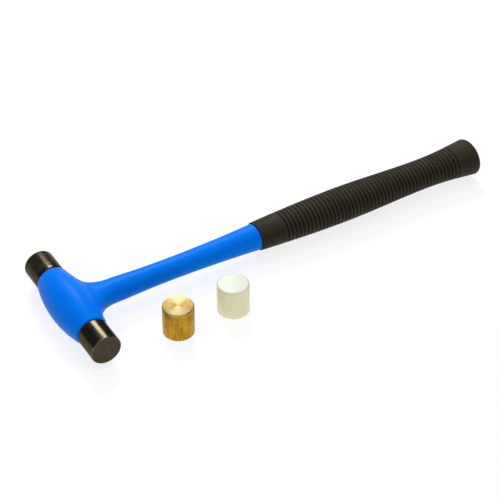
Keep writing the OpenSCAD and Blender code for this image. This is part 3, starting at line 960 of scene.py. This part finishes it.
def grip_sleeve():
    """Turned grip pressed to an oval, with a round hole for the tang."""
    grip = lathe("grip_sleeve_ringed", grip_outline(), axis=(0, 1, 0), sides=112)
    bpy.ops.object.mode_set(mode="EDIT")
    bpy.ops.mesh.select_all(action="SELECT")
    bpy.ops.mesh.fill_holes(sides=0)
    bpy.ops.transform.resize(value=(GRIP_OVAL, 1, 1 / GRIP_OVAL), center_override=HEAD)
    bpy.ops.mesh.normals_make_consistent(inside=False)
    bpy.ops.object.mode_set(mode="OBJECT")
    hole_r, hole_end = TANG_R + GAP, TANG_END + GAP
    hole = [(GRIP_Y - 1, 0), (GRIP_Y - 1, hole_r), (hole_end, hole_r), (hole_end, 0)]
    return combine(grip, lathe("tang_hole", hole, axis=(0, 1, 0)))


# ---------------------------------------------------------------- build

A_SIDE, B_SIDE = (-1, 0, 0), (1, 0, 0)
TURNED = {A_SIDE: (0, -math.pi / 2, 0), B_SIDE: (0, math.pi / 2, 0)}
dark = blackened_steel()
zinc = plated_steel("zinc_steel", (0.50, 0.52, 0.55, 1), (0.66, 0.68, 0.70, 1), 0.26, 0.2)
bright = plated_steel("bright_steel", (0.62, 0.62, 0.62, 1), (0.78, 0.78, 0.78, 1), 0.14, 0.15)
fibre = pressed_fibre()

hand_over(moulded_body(), "hammer", moulded_blue(), "moulded_blue", "moulded_body", angle=40)
hand_over(grip_sleeve(), "hammer", ringed_rubber(), "grip_rubber", "grip_sleeve", angle=50)
shell = tube(CANISTER_BORE, CANISTER_R - GAP, -BODY_HALF, BODY_HALF, 0.15)
hand_over(lathe("canister_tube_shell", shell), "hammer", zinc, "zinc_steel", "canister_tube")
for letter, way in (("a", A_SIDE), ("b", B_SIDE)):
    plug = end_plug(f"end_plug_{letter}_turned", way)
    hand_over(plug, "hammer", zinc, "zinc_steel", f"end_plug_{letter}")
    stud = face_stud(f"face_stud_{letter}_threaded", way)
    hand_over(stud, "hammer", zinc, "zinc_steel", f"face_stud_{letter}")
    pad = lathe(f"shot_pad_{letter}_disc", bar(CANISTER_BORE - GAP, PAD_IN, PAD_OUT, 0.2), axis=way)
    hand_over(pad, "hammer", fibre, "pad_fibre", f"shot_pad_{letter}")
    ring = lathe(f"seat_washer_{letter}_ring", tube(HOLE_CREST, CANISTER_R, PLUG_OUT, SEAT, 0.12), axis=way)
    hand_over(ring, f"washer_{letter}", dark, "black_steel", f"seat_washer_{letter}")
socket, rod, pin = core_pieces()
hand_over(socket, "hammer", zinc, "zinc_steel", "core_socket")
hand_over(rod, "hammer", zinc, "zinc_steel", "core_rod")
hand_over(pin, "hammer", bright, "bright_steel", "core_pin")
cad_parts["steel_shot"].data.materials.clear()
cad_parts["steel_shot"].data.materials.append(bright)

rubber = hard_rubber(HEAD, TURNED[A_SIDE], RUBBER_END)
hand_over(rubber_face(A_SIDE), "rubber_face", rubber, "face_rubber", "rubber_face")
hand_over(rubber_insert(A_SIDE), "rubber_face", dark, "black_steel", "rubber_face_insert")
steel = add_hole_thread(face_blank("steel_face_blank", SEAT, STEEL_END, FACE_R, EDGE_STEEL), SEAT)
black = blackened_steel(HEAD, TURNED[B_SIDE], STEEL_END)
hand_over(steel, "steel_face", black, "black_steel", "steel_face")


def foot_of(node):
    """Middle of a node's underside."""
    low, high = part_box(node)
    return Vector(((low.x + high.x) / 2, (low.y + high.y) / 2, low.z))


brass_foot = foot_of("brass_face")
brass = turned_brass(brass_foot, BRASS_HIGH)
hand_over(brass_face(brass_foot), "brass_face", brass, "turned_brass", "brass_face")
nylon_foot = foot_of("nylon_face")
nylon = natural_nylon(nylon_foot, NYLON_HIGH)
hand_over(nylon_face(nylon_foot), "nylon_face", nylon, "white_nylon", "nylon_face")


def pale_floor():
    """Plain white floor just under the pieces, with a glow of its own that keeps shadows faint."""
    clear_selection()
    bpy.ops.mesh.primitive_plane_add(size=6, location=(0, 0, cad_low.z - GAP * MM))
    floor = bpy.context.object
    floor.name = "pale_floor"
    material, tree, shader, here = new_material(
        "pale_floor", Roughness=0.8, Specular_IOR_Level=0.1, Emission_Color=(1, 1, 1, 1),
        Emission_Strength=0.82)
    patches = use(tree, SMUDGES, Vector=here, Size=300.0)
    colour = blend(tree, patches, (0.20, 0.20, 0.20, 1), (0.22, 0.22, 0.22, 1))
    tree.links.new(colour, shader.inputs["Base Color"])
    floor.data.materials.append(material)


pale_floor()
